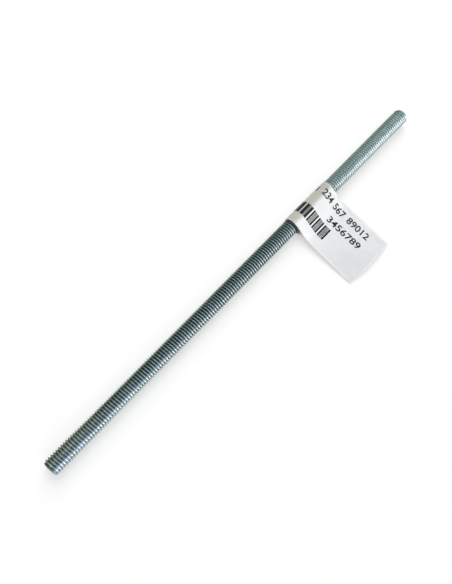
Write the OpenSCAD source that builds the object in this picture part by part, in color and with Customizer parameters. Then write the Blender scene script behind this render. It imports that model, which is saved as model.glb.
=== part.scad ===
// Threaded rod with a right-hand metric thread from end to end, and a paper label
// folded round it as a flag. The rod lies along X with the centre of its near end
// face at the origin, and the flag's outer edge leans on the same surface as the rod.

/* [Rod] */
// Length between the two end faces
rod_length = 180; // [60:1:250]
// Nominal diameter of the thread
thread_d = 6; // [4:0.1:10]
// Advance of the thread in one turn
pitch = 1; // [0.8:0.05:1.5]
// How far the finished crests lie under the nominal diameter
crest_allowance = 0.1; // [0:0.01:0.2]
// Length of the 45 degree bevel at each end
end_bevel = 0.5; // [0.3:0.05:1.5]
// Angle round the axis at which the thread starts
thread_start = 195; // [0:5:355]

/* [Label] */
// Distance from the near end face to the paper strip
label_at = 113.7; // [5:0.1:150]
// Width of the paper strip, along the rod
label_w = 20.8; // [8:0.1:40]
// Thickness of one layer of paper
paper_t = 0.12; // [0.08:0.01:0.3]
// Play between the crests and the paper
wrap_play = 0.08; // [0.02:0.01:0.4]
// Distance from the rod's axis to the crease where the two layers meet
crease_reach = 8.2; // [5:0.1:12]
// Distance from the rod's axis to the flag's outer edge
flag_reach = 29.9; // [15:0.1:60]
// How much further the lower layer reaches than the upper one
layer_lag = 0.3; // [0:0.1:2]
// Angle by which each layer runs out of square, one to each side
flag_skew = 1.8; // [0.5:0.1:4]

/* [Mesh] */
// Most facets that the thread may take, shared out among its turns
thread_facets = 11600; // [4000:100:12000]

/* [Hidden] */
$fn = 96;

// Depth of a 60 degree metric thread, as a share of its pitch
metric_depth = 0.6134;
crest_r = (thread_d - crest_allowance) / 2;
root_r = thread_d / 2 - metric_depth * pitch;
face_r = crest_r - end_bevel;

// Half turns of thread between the end faces, and steps round one turn
rows = floor(2 * rod_length / pitch) - 2;
steps = floor(thread_facets / (2 * (rows + 1)));
last = steps - 1;

wrap_r = crest_r + wrap_play;
wrap_outer_r = wrap_r + paper_t;
crease_angle = asin(wrap_r / crease_reach);
// How far the glue between the layers stands inside the crease
crease_glue = 0.1;
flag_droop = asin((wrap_outer_r - paper_t) / flag_reach);

zinc = [0.56, 0.62, 0.59];
paper = [0.95, 0.95, 0.97];

// Radius at the distance x from the near end face, held under both bevels
function bevelled(r, x) = min(r, face_r + min(x, rod_length - x));

// Row 0 is the rim of the near face and row rows + 1 that of the far face. Between
// them odd rows follow the crest and even rows the root, half a pitch apart.
function row_x(step, row) =
    row == 0 ? 0 : row > rows ? rod_length : pitch * (step / steps + row / 2);
function row_r(step, row) = bevelled(row % 2 == 1 ? crest_r : root_r, row_x(step, row));
function thread_point(step, row) =
    let (a = thread_start + 360 * step / steps, r = row_r(step, row))
    [row_x(step, row), r * cos(a), r * sin(a)];
function id(step, row) = step * (rows + 2) + row;

// The helical ridge as one closed skin. Across the seam between the last step and
// the first, each row meets the row one whole turn, or two rows, further on.
module threaded_rod() {
    points = [for (step = [0 : last], row = [0 : rows + 1]) thread_point(step, row)];
    flanks = [for (step = [0 : last - 1], row = [0 : rows])
        [id(step, row), id(step, row + 1), id(step + 1, row + 1), id(step + 1, row)]];
    seam = [for (row = [1 : rows - 3])
        [id(last, row), id(last, row + 1), id(0, row + 3), id(0, row + 2)]];
    first_turn = [for (row = [0 : 2]) [id(last, 0), id(0, row + 1), id(0, row)]];
    first_close = [[id(last, 0), id(last, 1), id(0, 3)]];
    last_turn = [for (row = [rows - 2 : rows]) [id(0, rows + 1), id(last, row), id(last, row + 1)]];
    last_close = [[id(0, rows + 1), id(0, rows), id(last, rows - 2)]];
    near_face = [[for (step = [0 : last]) id(step, 0)]];
    far_face = [[for (step = [last : -1 : 0]) id(step, rows + 1)]];
    color(zinc)
        polyhedron(points, concat(flanks, seam, first_turn, first_close,
            last_turn, last_close, near_face, far_face));
}

// Section of the wrap: a circle whose two tangents meet on the flag's side
module teardrop(r) {
    tip = r / sin(crease_angle);
    touch = [r * sin(crease_angle), r * cos(crease_angle)];
    circle(r);
    polygon([[-touch.x, touch.y], [-tip, 0], [-touch.x, -touch.y], [0, 0]]);
}

// Section in the plane across the rod, carried along the rod by the strip's width
module along_rod(width) {
    rotate([90, 0, 90]) linear_extrude(height = width) children();
}

// One layer of the flag from the glue in the crease to its outer edge, running out of square
module flag_layer(skew, reach) {
    run = reach - crease_reach + crease_glue;
    drift = run * tan(skew);
    translate([0, crease_glue - crease_reach, 0])
        linear_extrude(height = paper_t)
            polygon([[0, 0], [drift, -run], [drift + label_w, -run], [label_w, 0]]);
}

module paper_label() {
    color(paper)
        translate([label_at, 0, 0])
            rotate([flag_droop, 0, 0]) {
                along_rod(label_w)
                    difference() {
                        teardrop(wrap_outer_r);
                        teardrop(wrap_r);
                    }
                flag_layer(-flag_skew, flag_reach - layer_lag);
                translate([0, 0, -paper_t]) flag_layer(flag_skew, flag_reach);
            }
}

threaded_rod();
paper_label();
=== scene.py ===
import math

import bmesh
import bpy
from mathutils import Matrix, Vector


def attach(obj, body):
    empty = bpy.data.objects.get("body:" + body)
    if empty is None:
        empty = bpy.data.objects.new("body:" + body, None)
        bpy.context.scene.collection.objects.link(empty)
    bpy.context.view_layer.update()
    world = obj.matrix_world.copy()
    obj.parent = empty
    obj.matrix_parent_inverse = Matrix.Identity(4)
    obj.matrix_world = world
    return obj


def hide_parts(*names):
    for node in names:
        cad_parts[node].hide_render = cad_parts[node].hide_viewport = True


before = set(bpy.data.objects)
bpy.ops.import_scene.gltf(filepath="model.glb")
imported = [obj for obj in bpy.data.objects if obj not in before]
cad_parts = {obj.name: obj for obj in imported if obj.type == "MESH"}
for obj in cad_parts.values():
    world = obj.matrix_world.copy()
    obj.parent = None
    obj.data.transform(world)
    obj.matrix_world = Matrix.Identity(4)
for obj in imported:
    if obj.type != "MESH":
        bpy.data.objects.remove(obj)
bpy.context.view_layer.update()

# Sizes are written in millimetres, and this turns them into metres
MM = 0.001

# The rod, as in the part's source
ROD_LENGTH = 180.0
PITCH = 1.0
CREST_R = 2.95
ROOT_R = 2.42
END_BEVEL = 0.5
THREAD_START = 195.0

# Half the narrow flat on the crest, and how finely the thread is turned, trimmed and merged
CREST_HALF = 0.115
STEPS_A_TURN = 44
SPARE_TURNS = 4
CUT_TOLERANCE = 1e-7
MERGE = 0.002

# How much painted light lifts the grooves at the near end, all round, and on the lit front
NEAR_PAINTED_GROOVE_LIGHT = 0.4
FRONT_PAINTED_GROOVE_LIGHT = 0.6
# The dark ring at the strip's near edge: squeezed-out adhesive and painted shade
GLUE_AND_PAINTED_SHADE = (0.04, 0.055, 0.05, 1)

# The paper strip: its middle surface, folded round the rod and lying out as a flag
STRIP_AT = 113.75
STRIP_W = 20.8
PAPER_T = 0.12
WRAP_R = 3.09
STRIP_SKEW = math.radians(1.03)
CREASE_NEAR = 7.8
CREASE_FAR = 8.6
CREASE_BEND = 1.2
UPPER_NEAR = 29.3
UPPER_FAR = 29.65
LOWER_LAG = 0.3
LAYER_GAP = 0.01
FLAG_ARCH = 1.6
ARCH_MARGIN = 0.7
FLOOR_Z = -3.15

# Points of the strip: across it, and along it round the rod, down to the crease, in the
# crease's bend and out to the flag's edge
COLUMNS = 24
WRAP_STEPS = 26
LEG_STEPS = 9
BEND_STEPS = 10
FLAG_STEPS = 24

# Print on the upper side: places along the strip and across it. The three groups of bars
# nearest the flag's edge are fine ones
INK_RISE = 0.066
INK_T = 0.016
BAR_ENDS = (4.4, 9.6)
BAR_GROUP = 3.45
BAR_GROUPS_AT = [13.9 - BAR_GROUP * n for n in range(6)]
FINE_BARS = [(0.0, 0.7), (0.88, 1.14), (1.3, 1.56), (1.72, 1.98), (2.16, 2.86)]
BROAD_BARS = [(0.0, 1.15), (1.33, 1.6), (1.76, 2.86)]
NUMBERS = [
    ("1", 1.7, 2.2, 15.8, 18.2),
    ("234", 4.2, 9.6, 16.0, 18.85),
    ("567", 11.0, 16.7, 16.05, 18.9),
    ("89012", 18.3, 28.4, 16.15, 19.0),
    ("3456789", 12.8, 28.4, 11.05, 13.75),
]
FINE_FROM = 5

# Cuts that let the print follow the strip's bends: their spacing and how many there are
CUT_ALONG = 0.3
CUTS_ALONG = 95
CUT_ACROSS = 0.4
CUTS_ACROSS = 38
FIRST_ACROSS = 4.5

# Levels of the floor, and of the room as it lights things and as metal mirrors it
FLOOR_MATT = (0.41, 0.41, 0.41, 1)
FLOOR_GLOW = 0.48
ROOM_LIGHT = 0.3
ROOM_MIRRORED_LESS = 0.1


def clear_selection():
    if bpy.context.object and bpy.context.object.mode != "OBJECT":
        bpy.ops.object.mode_set(mode="OBJECT")
    bpy.ops.object.select_all(action="DESELECT")


def pick(piece):
    clear_selection()
    piece.select_set(True)
    bpy.context.view_layer.objects.active = piece


def named(name):
    piece = bpy.context.object
    piece.name = name
    piece.data.name = name
    return piece


def apply_place(piece):
    pick(piece)
    bpy.ops.object.transform_apply(location=True, rotation=True, scale=True)


def finish_modifier(piece, kind, **settings):
    pick(piece)
    made = piece.modifiers.new(kind.title(), kind)
    for name, value in settings.items():
        setattr(made, name, value)
    bpy.ops.object.modifier_apply(modifier=made.name)


def smooth(piece, degrees):
    pick(piece)
    bpy.ops.object.shade_smooth_by_angle(angle=math.radians(degrees))


def select_vertices(piece, test):
    """In edit mode, select the vertices that pass a test on their place."""
    bpy.ops.mesh.select_mode(type="VERT")
    bpy.ops.mesh.select_all(action="DESELECT")
    mesh = bmesh.from_edit_mesh(piece.data)
    for vertex in mesh.verts:
        vertex.select_set(bool(test(vertex.co)))
    bmesh.update_edit_mesh(piece.data)


# shader sockets


class Wire:
    """An output socket on which plain Python arithmetic adds Math nodes."""

    def __init__(self, finish, socket):
        self.finish = finish
        self.socket = socket

    def math(self, operation, *values):
        return self.finish.node("ShaderNodeMath", {"operation": operation}, dict(enumerate(values)))

    def __add__(self, other):
        return self.math("ADD", self, other)

    def __radd__(self, other):
        return self.math("ADD", other, self)

    def __sub__(self, other):
        return self.math("SUBTRACT", self, other)

    def __rsub__(self, other):
        return self.math("SUBTRACT", other, self)

    def __mul__(self, other):
        return self.math("MULTIPLY", self, other)

    def __rmul__(self, other):
        return self.math("MULTIPLY", other, self)


class Finish:
    """A material under construction."""

    def __init__(self, name, tree=None):
        if tree is None:
            self.material = bpy.data.materials.new(name)
            self.material.use_nodes = True
            tree = self.material.node_tree
        tree.nodes.clear()
        self.tree = tree

    def node(self, kind, settings=None, values=None, output=0):
        made = self.tree.nodes.new(kind)
        for name, value in (settings or {}).items():
            setattr(made, name, value)
        for key, value in (values or {}).items():
            if isinstance(value, Wire):
                self.tree.links.new(value.socket, made.inputs[key])
            else:
                made.inputs[key].default_value = value
        return Wire(self, made.outputs[output]) if made.outputs else None

    def place(self):
        return self.node("ShaderNodeTexCoord", output="Object")

    def rays(self):
        """Whether the camera sees this spot itself, and whether it is seen mirrored."""
        return [self.node("ShaderNodeLightPath", output=kind) for kind in ("Is Camera Ray", "Is Glossy Ray")]

    def scaled(self, vector, scale):
        return self.node("ShaderNodeMapping", None, {"Vector": vector, "Scale": scale})

    def noise(self, vector, scale, detail=2.0, roughness=0.5):
        values = {"Vector": vector, "Scale": scale, "Detail": detail, "Roughness": roughness}
        return self.node("ShaderNodeTexNoise", None, values)

    def parts(self, vector):
        """A vector's X, Y and Z."""
        return [self.node("ShaderNodeSeparateXYZ", None, {"Vector": vector}, output=axis) for axis in "XYZ"]

    def between(self, value, low, high, to_low=0.0, to_high=1.0):
        """A smooth step from to_low to to_high while value goes from low to high."""
        values = {"Value": value, "From Min": low, "From Max": high, "To Min": to_low, "To Max": to_high}
        return self.node("ShaderNodeMapRange", {"interpolation_type": "SMOOTHSTEP"}, values)

    def between_mm(self, value, low, high, to_low=0.0, to_high=1.0):
        """The same, with both limits in millimetres."""
        return self.between(value, low * MM, high * MM, to_low, to_high)

    def blend(self, mask, first, second):
        values = {0: mask, 6: first, 7: second}
        return self.node("ShaderNodeMix", {"data_type": "RGBA"}, values, output=2)

    def bump(self, height, strength, distance):
        values = {"Height": height, "Strength": strength, "Distance": distance}
        return self.node("ShaderNodeBump", None, values)

    def surface(self, values):
        shader = self.node("ShaderNodeBsdfPrincipled", None, values)
        self.output(shader)
        return self.material

    def output(self, shader):
        self.node("ShaderNodeOutputMaterial", None, {"Surface": shader})


# finishes


def bright_zinc():
    """Blue passivated zinc: a cool grey metal, bright on the rubbed crests. The grooves are painted darker
    as shade in the hollows, and painted lighter where light reaches into them.
    """
    finish = Finish("zinc plate")
    place = finish.place()
    depth = finish.node("ShaderNodeVectorMath", {"operation": "LENGTH"}, {
        0: finish.scaled(place, (0.0, 1.0, 1.0))}, output="Value")
    crest = finish.between_mm(depth, CREST_R - 0.25, CREST_R - 0.03)
    clouds = finish.noise(place, 260.0, 3.0)
    grain = finish.noise(finish.scaled(place, (1400.0, 5200.0, 5200.0)), 1.0, 2.0)
    mottle = finish.between(clouds, 0.3, 0.7)
    along_rod, sideways = finish.parts(place)[:2]
    # Painted shade: the grooves' tone is dark to stand in for the shade inside them, and lighter where
    # painted light lifts it
    shaded_groove = finish.blend(mottle, (0.14, 0.165, 0.16, 1), (0.18, 0.21, 0.205, 1))
    lit_groove = finish.blend(mottle, (0.44, 0.51, 0.49, 1), (0.50, 0.58, 0.56, 1))
    # Painted light: the grooves are made lighter at both ends of the rod and, further along, on its lit
    # front
    painted_groove_light = NEAR_PAINTED_GROOVE_LIGHT - finish.between_mm(along_rod, 10, 45, 0.0, NEAR_PAINTED_GROOVE_LIGHT)
    painted_groove_light = painted_groove_light + finish.between_mm(along_rod, 105, 138)
    narrowing = finish.between_mm(along_rod, 18, 45, 0.8 * MM, 0.0)
    front = finish.between_mm(0 - sideways - narrowing, 0.4, 1.8)
    painted_groove_light = painted_groove_light + front * (FRONT_PAINTED_GROOVE_LIGHT - finish.between_mm(along_rod, 26, 80, 0.0, FRONT_PAINTED_GROOVE_LIGHT))
    groove = finish.blend(painted_groove_light.math("MINIMUM", painted_groove_light, 1.0), shaded_groove, lit_groove)
    rubbed = finish.blend(mottle, (0.69, 0.80, 0.775, 1), (0.75, 0.87, 0.845, 1))
    # A dark ring at the strip's near edge: adhesive squeezed out under it, and painted shade from the gap
    # between the strip and the rod, heavier on the front
    glue_and_painted_shade = finish.between_mm(along_rod, STRIP_AT - 1.7, STRIP_AT - 1.0)
    glue_and_painted_shade = glue_and_painted_shade * (1 - finish.between_mm(along_rod, STRIP_AT + 0.5, STRIP_AT + 1.5))
    glue_and_painted_shade = glue_and_painted_shade * finish.between_mm(0 - sideways, -1.5, 2.2, 0.55, 0.97)
    return finish.surface({
        "Base Color": finish.blend(glue_and_painted_shade, finish.blend(crest, groove, rubbed), GLUE_AND_PAINTED_SHADE),
        "Metallic": 1.0,
        "Roughness": 0.34 - crest * 0.08 + grain * 0.05,
        "Normal": finish.bump(grain, 0.15, 0.00002),
    })


def paper_sheet(name, tone, roughness):
    """Thin paper that lets some light through; tone is a function of the finish under construction."""
    finish = Finish(name)
    fibres = finish.noise(finish.place(), 5200.0, 2.0)
    waves = finish.noise(finish.place(), 420.0, 2.0)
    return finish.surface({
        "Base Color": tone(finish),
        "Roughness": roughness,
        "Subsurface Weight": 0.8,
        "Subsurface Radius": (1.0, 1.0, 1.0),
        "Subsurface Scale": 0.0005,
        "Normal": finish.bump(fibres * 0.1 + waves, 0.5, 0.00012),
    })


def strip_millimetres(finish):
    """Millimetres across the strip and along it, from the label's own map."""
    return finish.parts(finish.node("ShaderNodeTexCoord", output="UV"))[:2]


def face_tone(finish):
    """White label paper, with painted shade: darker and bluer on the flag, darker at the near outer corner,
    and darker over the wrap round the rod, where the dark rod also shows through. Both edges are darker and
    yellower.
    """
    across, distance = strip_millimetres(finish)
    clouds = finish.noise(finish.place(), 150.0, 3.0)
    specks = finish.noise(finish.place(), 620.0, 3.0)
    patches = finish.between(clouds * 0.6 + specks * 0.4, 0.4, 0.6)
    lit_paper = finish.blend(patches, (0.88, 0.905, 0.94, 1), (0.925, 0.95, 0.97, 1))
    cool = finish.blend(patches, (0.85, 0.845, 0.91, 1), (0.905, 0.90, 0.955, 1))
    # Painted shade: the flag is darker and bluer than the paper nearer the rod
    tone = finish.blend(finish.between(distance, 12.0, 18.0), lit_paper, cool)
    # Painted shade: a darker patch at the flag's near outer corner
    corner = finish.between(distance, 14.0, 31.0) * (1 - finish.between(across, 2.0, 15.0))
    tone = finish.blend(corner * finish.between(clouds, 0.25, 0.7, 0.5, 1.0), tone, (0.65, 0.655, 0.64, 1))
    # Painted shade over the wrap round the rod, where the dark rod also shows through the thin paper
    wrap_shade_and_show_through = 1 - finish.between(distance.math("ABSOLUTE", distance), 4.4, 6.4)
    tone = finish.blend(wrap_shade_and_show_through, tone, (0.505, 0.505, 0.445, 1))
    edge = across.math("MINIMUM", across, STRIP_W - across)
    return finish.blend(finish.between(edge, 0.15, 0.4, 0.7, 0.0), tone, (0.72, 0.72, 0.65, 1))


def back_tone(finish):
    """The glued side: yellowish grey, partly adhesive and partly painted shade between the two layers, with
    a white margin at the strip's two ends.
    """
    across, distance = strip_millimetres(finish)
    end = finish.between(distance.math("ABSOLUTE", distance), 34.6, 34.8)
    clouds = finish.noise(finish.place(), 400.0, 3.0)
    glue_and_painted_shade = finish.blend(finish.between(clouds, 0.35, 0.65), (0.86, 0.86, 0.83, 1), (0.91, 0.91, 0.885, 1))
    return finish.blend(end, glue_and_painted_shade, (0.97, 0.97, 0.97, 1))


def cut_tone(finish):
    """The paper's cut edge: white, a little grey with handling."""
    clouds = finish.noise(finish.place(), 900.0, 3.0)
    return finish.blend(finish.between(clouds, 0.35, 0.65), (0.84, 0.84, 0.80, 1), (0.93, 0.93, 0.91, 1))


def printed_ink():
    """Black print, slightly worn."""
    finish = Finish("printed ink")
    place = finish.place()
    wear = finish.noise(place, 2600.0, 2.0)
    tone = finish.blend(finish.between(wear, 0.45, 0.75), (0.008, 0.009, 0.01, 1), (0.035, 0.037, 0.04, 1))
    gloss = finish.between(wear, 0.3, 0.7, 0.5, 0.65)
    return finish.surface({"Base Color": tone, "Roughness": gloss, "Specular IOR Level": 0.25})


# threaded rod


def thread_profile():
    """One pitch of the thread from root to root, as distances along the rod and radii."""
    flank = math.tan(math.radians(60))
    crest_corner = PITCH / 2 - CREST_HALF
    root_corner = PITCH / 2 - CREST_HALF - (CREST_R - ROOT_R) / flank
    # Each corner is eased by one point just off the flat and one on the flank
    off_flat = 0.008
    on_flank = 0.055
    half = [
        (0.0, ROOT_R),
        (root_corner - 0.03, ROOT_R + off_flat),
        (root_corner + 0.03, ROOT_R + on_flank),
        (crest_corner - 0.03, CREST_R - on_flank),
        (crest_corner + 0.02, CREST_R - off_flat),
    ]
    return half + [(PITCH / 2, CREST_R)] + [(PITCH - x, r) for x, r in reversed(half)]


def rolled_thread():
    profile = thread_profile()
    turns = int(ROD_LENGTH / PITCH) + SPARE_TURNS
    # At the top of the rod the crest stands a quarter turn after its place at the side
    top_crest = PITCH * ((90 - THREAD_START) / 360 + 0.5)
    first = top_crest % PITCH - PITCH / 2 - SPARE_TURNS / 2 * PITCH
    bpy.ops.mesh.primitive_grid_add(x_subdivisions=len(profile) - 1, y_subdivisions=1, size=2)
    rod = named("rolled_thread")
    bpy.ops.object.mode_set(mode="EDIT")
    select_vertices(rod, lambda place: place.y > 0)
    bpy.ops.mesh.delete(type="VERT")
    bpy.ops.object.mode_set(mode="OBJECT")
    chain = sorted(rod.data.vertices, key=lambda v: v.co.x)
    for vertex, (x, r) in zip(chain, profile):
        vertex.co = Vector((first + x, 0, r)) * MM
    finish_modifier(rod, "SCREW", axis="X", angle=math.tau, screw_offset=PITCH * MM, iterations=turns,
                    steps=STEPS_A_TURN, render_steps=STEPS_A_TURN, use_smooth_shade=True,
                    use_normal_calculate=False)
    bpy.ops.object.mode_set(mode="EDIT")
    bpy.ops.mesh.select_all(action="SELECT")
    bpy.ops.mesh.remove_doubles(threshold=MERGE * MM)
    for place, outward in ((0.0, -1), (ROD_LENGTH, 1)):
        bpy.ops.mesh.select_all(action="SELECT")
        bpy.ops.mesh.bisect(plane_co=(place * MM, 0, 0), plane_no=(outward, 0, 0), use_fill=True,
                            clear_outer=True, threshold=CUT_TOLERANCE)
    bpy.ops.object.mode_set(mode="OBJECT")
    face_r = CREST_R - END_BEVEL
    for vertex in rod.data.vertices:
        x, y, z = (c / MM for c in vertex.co)
        radius = math.hypot(y, z)
        limit = face_r + min(x, ROD_LENGTH - x)
        if radius > limit:
            vertex.co = Vector((x, y * limit / radius, z * limit / radius)) * MM
    bpy.ops.object.mode_set(mode="EDIT")
    bpy.ops.mesh.select_all(action="SELECT")
    bpy.ops.mesh.normals_make_consistent(inside=False)
    bpy.ops.object.mode_set(mode="OBJECT")
    smooth(rod, 40)
    rod.data.materials.append(bright_zinc())
    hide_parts("threaded_rod")
    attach(rod, "root")
    return rod


# paper strip


def flag_droop():
    """Angle by which the flag leans down, so that its lower layer's outer edge meets the floor."""
    reach = UPPER_FAR + LOWER_LAG
    return math.asin((-FLOOR_Z - PAPER_T) / reach)


def fold_path(crease, reach, side):
    """The strip's section from the back of the rod to its outer edge: points (out, up)."""
    rise = (PAPER_T + LAYER_GAP) / 2
    lean = math.acos(WRAP_R / math.hypot(crease, rise)) - math.atan2(rise, crease)
    touch = math.pi - lean
    leg_y = WRAP_R * math.cos(touch)
    leg_z = WRAP_R * math.sin(touch)
    points = []
    for step in range(WRAP_STEPS + 1):
        turn = touch * step / WRAP_STEPS
        points.append((WRAP_R * math.cos(turn), WRAP_R * math.sin(turn)))
    into = Vector((-crease - leg_y, rise - leg_z)).normalized()
    # A soft bend from the leg into the flag, as a quadratic curve over CREASE_BEND on both sides
    start = (-crease - into.x * CREASE_BEND, rise - into.y * CREASE_BEND)
    end = (-crease - CREASE_BEND, rise)
    for step in range(1, LEG_STEPS):
        share = step / LEG_STEPS
        points.append((leg_y + (start[0] - leg_y) * share, leg_z + (start[1] - leg_z) * share))
    for step in range(BEND_STEPS + 1):
        t = step / BEND_STEPS
        a, b, c = (1 - t) ** 2, 2 * t * (1 - t), t * t
        points.append((a * start[0] - b * crease + c * end[0], a * start[1] + b * rise + c * end[1]))
    for step in range(1, FLAG_STEPS + 1):
        share = step / FLAG_STEPS
        points.append((end[0] - (reach + end[0]) * share, rise))
    return [(y, side * z) for y, z in points]


def along(points):
    """Distances along a section's points."""
    distances = [0.0]
    for before, after in zip(points, points[1:]):
        distances.append(distances[-1] + math.hypot(after[0] - before[0], after[1] - before[1]))
    return distances


def strip_section(across):
    """The whole section at one place across the strip: (distance, out, up), upper side positive."""
    share = across / STRIP_W
    crease = CREASE_NEAR + (CREASE_FAR - CREASE_NEAR) * share
    reach = UPPER_NEAR + (UPPER_FAR - UPPER_NEAR) * share
    upper = fold_path(crease, reach, 1)
    lower = fold_path(crease, reach + LOWER_LAG, -1)
    section = [(d, y, z) for d, (y, z) in zip(along(upper), upper)]
    section = [(-d, y, z) for d, (y, z) in list(zip(along(lower), lower))[:0:-1]] + section
    return section


def arch(beside, out):
    """How far the flag stands up off its plane: not at all at the crease and its two outer corners."""
    share = max(-out - CREASE_FAR, 0) / (UPPER_FAR - CREASE_FAR)
    swing = (beside + ARCH_MARGIN) / (STRIP_W + 2 * ARCH_MARGIN)
    return FLAG_ARCH * math.sin(math.pi * min(max(swing, 0), 1)) * share ** 2


def strip_place(across, row_point, lift=0.0):
    """A point of the strip in the rod's frame, in metres; row_point is (distance, out, up, normal)."""
    distance, out, up, normal = row_point
    beside = across * math.cos(STRIP_SKEW) - distance * math.sin(STRIP_SKEW)
    out += normal[0] * lift
    up += normal[1] * lift + arch(beside, out)
    droop = flag_droop()
    x = STRIP_AT + beside
    y = out * math.cos(droop) - up * math.sin(droop)
    z = out * math.sin(droop) + up * math.cos(droop)
    return Vector((x, y, z)) * MM


def with_normals(section):
    """Adds to each point of a section the direction that faces away from the rod."""
    rows = []
    for i, (distance, out, up) in enumerate(section):
        before = section[max(i - 1, 0)]
        after = section[min(i + 1, len(section) - 1)]
        run = (after[1] - before[1], after[2] - before[2])
        size = math.hypot(*run)
        rows.append((distance, out, up, (run[1] / size, -run[0] / size)))
    return rows


def section_at(rows, distance):
    """The point of a section at a distance along the strip, between two of its rows."""
    for before, after in zip(rows, rows[1:]):
        if distance <= after[0]:
            share = (distance - before[0]) / (after[0] - before[0])
            mixed = [before[k] + (after[k] - before[k]) * share for k in (1, 2)]
            normal = [before[3][k] + (after[3][k] - before[3][k]) * share for k in (0, 1)]
            return (distance, mixed[0], mixed[1], normal)
    return rows[-1]


def folded_label():
    sections = [with_normals(strip_section(STRIP_W * i / COLUMNS)) for i in range(COLUMNS + 1)]
    rows = len(sections[0])
    bpy.ops.mesh.primitive_grid_add(x_subdivisions=COLUMNS, y_subdivisions=rows - 1, size=2)
    label = named("folded_label")
    uv = label.data.uv_layers.active or label.data.uv_layers.new(name="UVMap")
    for vertex in label.data.vertices:
        i = round((vertex.co.x + 1) / 2 * COLUMNS)
        j = round((vertex.co.y + 1) / 2 * (rows - 1))
        vertex.co = strip_place(STRIP_W * i / COLUMNS, sections[i][j])
    # The grid's own map, turned into millimetres across and along the strip
    for loop in label.data.loops:
        u, v = uv.data[loop.index].uv
        i = round(u * COLUMNS)
        j = round(v * (rows - 1))
        uv.data[loop.index].uv = (STRIP_W * i / COLUMNS, sections[i][j][0])
    # Recalculated, the open sheet's faces look outward, away from the rod, with inside set
    bpy.ops.object.mode_set(mode="EDIT")
    bpy.ops.mesh.select_all(action="SELECT")
    bpy.ops.mesh.normals_make_consistent(inside=True)
    bpy.ops.object.mode_set(mode="OBJECT")
    label.data.materials.append(paper_sheet("label paper", face_tone, 0.5))
    label.data.materials.append(paper_sheet("label back", back_tone, 0.6))
    label.data.materials.append(paper_sheet("label cut edge", cut_tone, 0.7))
    finish_modifier(label, "SOLIDIFY", thickness=PAPER_T * MM, offset=0.0, material_offset=1,
                    material_offset_rim=2)
    smooth(label, 30)
    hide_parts("paper_label")
    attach(label, "root")
    length = sections[0][-1][0] - sections[0][0][0]
    length * MM
    return label


# print on the strip


def flat_bars():
    """Groups of plain bars, three broad and three fine, laid out flat."""
    bars = []
    for group in BAR_GROUPS_AT:
        for start, end in BROAD_BARS if group < FINE_FROM else FINE_BARS:
            middle = (group + (start + end) / 2, sum(BAR_ENDS) / 2, 0)
            bpy.ops.mesh.primitive_plane_add(size=1.0, location=middle)
            bar = named("bar")
            bar.scale = (end - start, BAR_ENDS[1] - BAR_ENDS[0], 1)
            apply_place(bar)
            bars.append(bar)
    return bars


def flat_number(digits, start, end, low, high):
    """A plain number, fitted into its place on the flat strip."""
    bpy.ops.object.text_add()
    typed = bpy.context.object.data
    typed.body = digits
    typed.resolution_u = 4
    typed.offset = 0.016
    bpy.ops.object.convert(target="MESH")
    number = named("number")
    xs = [vertex.co.x for vertex in number.data.vertices]
    ys = [vertex.co.y for vertex in number.data.vertices]
    left, right, foot, head = min(xs), max(xs), min(ys), max(ys)
    for vertex in number.data.vertices:
        x = start + (end - start) * (vertex.co.x - left) / (right - left)
        y = low + (high - low) * (vertex.co.y - foot) / (head - foot)
        vertex.co = (x, y, 0)
    return number


def label_print():
    pieces = flat_bars() + [flat_number(*number) for number in NUMBERS]
    clear_selection()
    for piece in pieces:
        piece.select_set(True)
    bpy.context.view_layer.objects.active = pieces[0]
    bpy.ops.object.join()
    ink = named("label_print")
    bpy.ops.object.mode_set(mode="EDIT")
    cuts = [((CUT_ALONG * n, 0, 0), (1, 0, 0)) for n in range(1, CUTS_ALONG + 1)]
    cuts += [((0, FIRST_ACROSS + CUT_ACROSS * n, 0), (0, 1, 0)) for n in range(CUTS_ACROSS)]
    for place, facing in cuts:
        bpy.ops.mesh.select_all(action="SELECT")
        bpy.ops.mesh.bisect(plane_co=place, plane_no=facing)
    bpy.ops.mesh.select_all(action="SELECT")
    bpy.ops.mesh.remove_doubles(threshold=MERGE)
    bpy.ops.object.mode_set(mode="OBJECT")
    for vertex in ink.data.vertices:
        distance, across = vertex.co.x, vertex.co.y
        row_point = section_at(with_normals(strip_section(across)), distance)
        vertex.co = strip_place(across, row_point, INK_RISE)
    finish_modifier(ink, "SOLIDIFY", thickness=INK_T * MM, offset=0.0)
    ink.data.materials.append(printed_ink())
    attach(ink, "root")
    return ink


# floor, light, camera


def pale_floor():
    """A matt floor that keeps the shadows. Its glow, only seen and never lighting, makes it white."""
    bpy.ops.mesh.primitive_plane_add(size=3.0, location=(ROD_LENGTH / 2 * MM, 0, FLOOR_Z * MM))
    floor = named("floor")
    apply_place(floor)
    finish = Finish("pale floor")
    camera_ray, glossy_ray = finish.rays()
    seen = camera_ray.math("MAXIMUM", camera_ray, glossy_ray)
    matt = finish.node("ShaderNodeBsdfDiffuse", None, {"Color": FLOOR_MATT})
    glow = finish.node("ShaderNodeEmission", None, {"Color": (1, 1, 1, 1), "Strength": seen * FLOOR_GLOW})
    finish.output(finish.node("ShaderNodeAddShader", None, {0: matt, 1: glow}))
    floor.data.materials.append(finish.material)
    return floor


def soft_room():
    """An even dim room round the studio; the camera itself sees it white."""
    world = bpy.data.worlds.new("soft room")
    bpy.context.scene.world = world
    world.use_nodes = True
    finish = Finish("soft room", world.node_tree)
    camera_ray, glossy_ray = finish.rays()
    strength = ROOM_LIGHT + camera_ray * (1 - ROOM_LIGHT) - glossy_ray * ROOM_MIRRORED_LESS
    light = finish.node("ShaderNodeBackground", None, {"Color": (1, 1, 1, 1), "Strength": strength})
    finish.node("ShaderNodeOutputWorld", None, {"Surface": light})


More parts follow.
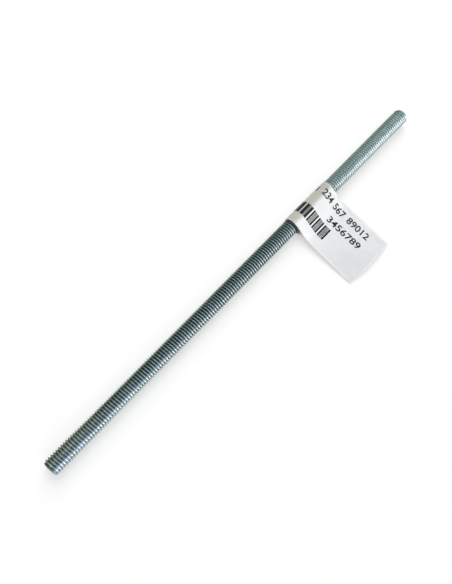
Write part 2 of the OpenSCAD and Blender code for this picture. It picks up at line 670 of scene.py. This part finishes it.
def lamp(name, place, aim, size, watts, colour, receivers):
    """A flat lamp, turned to its aim, that lights the receivers alone."""
    bpy.ops.object.light_add(type="AREA", location=Vector(place) * MM)
    made = bpy.context.object
    made.name = name
    made.data.shape = "RECTANGLE"
    made.data.size = size[0] * MM
    made.data.size_y = size[1] * MM
    made.data.energy = watts
    made.data.color = colour
    towards = (Vector(aim) - Vector(place)).normalized()
    made.rotation_euler = towards.to_track_quat("-Z", "Y").to_euler()
    made.visible_camera = False
    lit = bpy.data.collections.new(name + " receivers")
    for piece in receivers:
        lit.objects.link(piece)
    made.light_linking.receiver_collection = lit
    return made


def card(name, place, facing, size, level):
    """A card of one even level that only reflections see, as a studio sets round bright metal."""
    bpy.ops.mesh.primitive_plane_add(size=1.0, location=Vector(place) * MM)
    made = named(name)
    made.rotation_euler = Vector(facing).to_track_quat("Z", "Y").to_euler()
    made.scale = (size[0] * MM, size[1] * MM, 1.0)
    apply_place(made)
    finish = Finish(name)
    finish.output(finish.node("ShaderNodeEmission", None, {"Color": (*level, 1)}))
    made.data.materials.append(finish.material)
    made.visible_camera = False
    made.visible_diffuse = False
    made.visible_shadow = False
    return made


def studio_lamps(metal, paper, ground):
    """Each lamp's name, place, aim, size, watts, colour and receivers."""
    lamp("near strip light", (10, -130, 12.5), (10, 0, 12.5), (80, 31), 0.037, (1.08, 1.0, 1.24), metal)
    lamp("near softbox", (-10, -130, 69), (-10, 0, 69), (40, 82), 0.034, (0.95, 1.0, 1.32), metal)
    lamp("middle strip light", (105, -130, 10), (105, 0, 10), (110, 26), 0.0155, (0.65, 1.0, 0.99), metal)
    lamp("far strip light", (260, -130, 9), (260, 0, 9), (120, 24), 0.054, (1.02, 1.0, 1.12), metal)
    lamp("label softbox", (250, -400, 110), (123, 0, 0), (300, 130), 1.5, (0.97, 0.98, 1.0), paper)
    lamp("label near light", (-200, 60, 260), (123, -10, 0), (200, 200), 0.45, (0.97, 0.98, 1.0), paper)
    lamp("label top light", (-60, 180, 330), (123, -5, 0), (300, 300), 1.42, (0.99, 1.0, 0.98), paper)
    lamp("floor softbox", (440, 400, 700), (110, 0, 0), (900, 900), 9.5, (1.0, 1.0, 1.0), ground)
    lamp("floor fill light", (-250, -450, 700), (80, 0, 0), (1300, 1000), 4.6, (1.0, 1.0, 1.0), ground)


def reflection_cards():
    """Each card's name, place, facing, size and level: above, low behind, on the floor, past both ends."""
    card("top dark card", (90, 0, 121), (0, 0, -1), (380, 220), (0.03, 0.05, 0.08))
    card("top near card", (-60, 47, 120), (0, 0, -1), (80, 126), (1.9, 2.0, 1.82))
    card("top front card", (61, -65, 119.5), (0, 0, -1), (60, 90), (1.15, 1.52, 2.0))
    card("top centre card", (75, 75, 119), (0, 0, -1), (60, 230), (0.23, 0.31, 0.28))
    card("top middle card", (125, -75, 120), (0, 0, -1), (130, 70), (0.49, 0.66, 0.56))
    card("top far card", (235, -30, 120), (0, 0, -1), (90, 120), (1.16, 1.1, 0.94))
    card("top far back card", (235, 70, 120), (0, 0, -1), (90, 80), (0.68, 0.92, 1.1))
    card("low near card", (-35, 9, 4.5), (0, -1, 0), (110, 15.2), (0.28, 0.27, 0.22))
    card("low middle card", (72.5, 9, 4.5), (0, -1, 0), (105, 15.2), (0.15, 0.19, 0.175))
    card("low far card", (192.5, 9, 4.5), (0, -1, 0), (135, 15.2), (0.27, 0.31, 0.3))
    card("back ground card", (-4, 6.2, -3.1), (0, 0, 1), (34, 5.5), (0.3, 0.32, 0.26))
    card("near ground card", (0, -21, -3.1), (0, 0, 1), (50, 34), (0.6, 0.68, 0.78))
    card("foot card", (90, -5.4, -3.05), (0, 0, 1), (184, 5), (0.42, 0.46, 0.47))
    card("ground card", (91, -21, -3.1), (0, 0, 1), (42, 34), (0.43, 0.52, 0.57))
    card("near end card", (-160, 0, 90), (1, 0, 0), (300, 180), (0.02, 0.02, 0.02))
    card("far end card", (360, 0, 90), (-1, 0, 0), (300, 180), (0.49, 0.61, 0.6))


def studio_camera():
    eye = Vector((22.859, -26.436, 188.105)) * MM
    target = Vector((79.787, 0.4, -3.15)) * MM
    roll = math.radians(18.387)
    bpy.ops.object.camera_add(location=eye)
    camera = bpy.context.object
    camera.name = "camera"
    camera.data.sensor_fit = "AUTO"
    camera.data.sensor_width = 36
    camera.data.lens = 35.776
    camera.data.clip_start = 0.005
    camera.data.clip_end = 20
    turn = (target - eye).to_track_quat("-Z", "Y").to_matrix() @ Matrix.Rotation(roll, 3, "Z")
    camera.rotation_euler = turn.to_euler()
    bpy.context.scene.camera = camera


clear_selection()
studio_camera()
rod = rolled_thread()
label = folded_label()
ink = label_print()
floor = pale_floor()
soft_room()
studio_lamps([rod], [label, ink], [floor])
reflection_cards()

bpy.context.scene.view_settings.view_transform = "Standard"
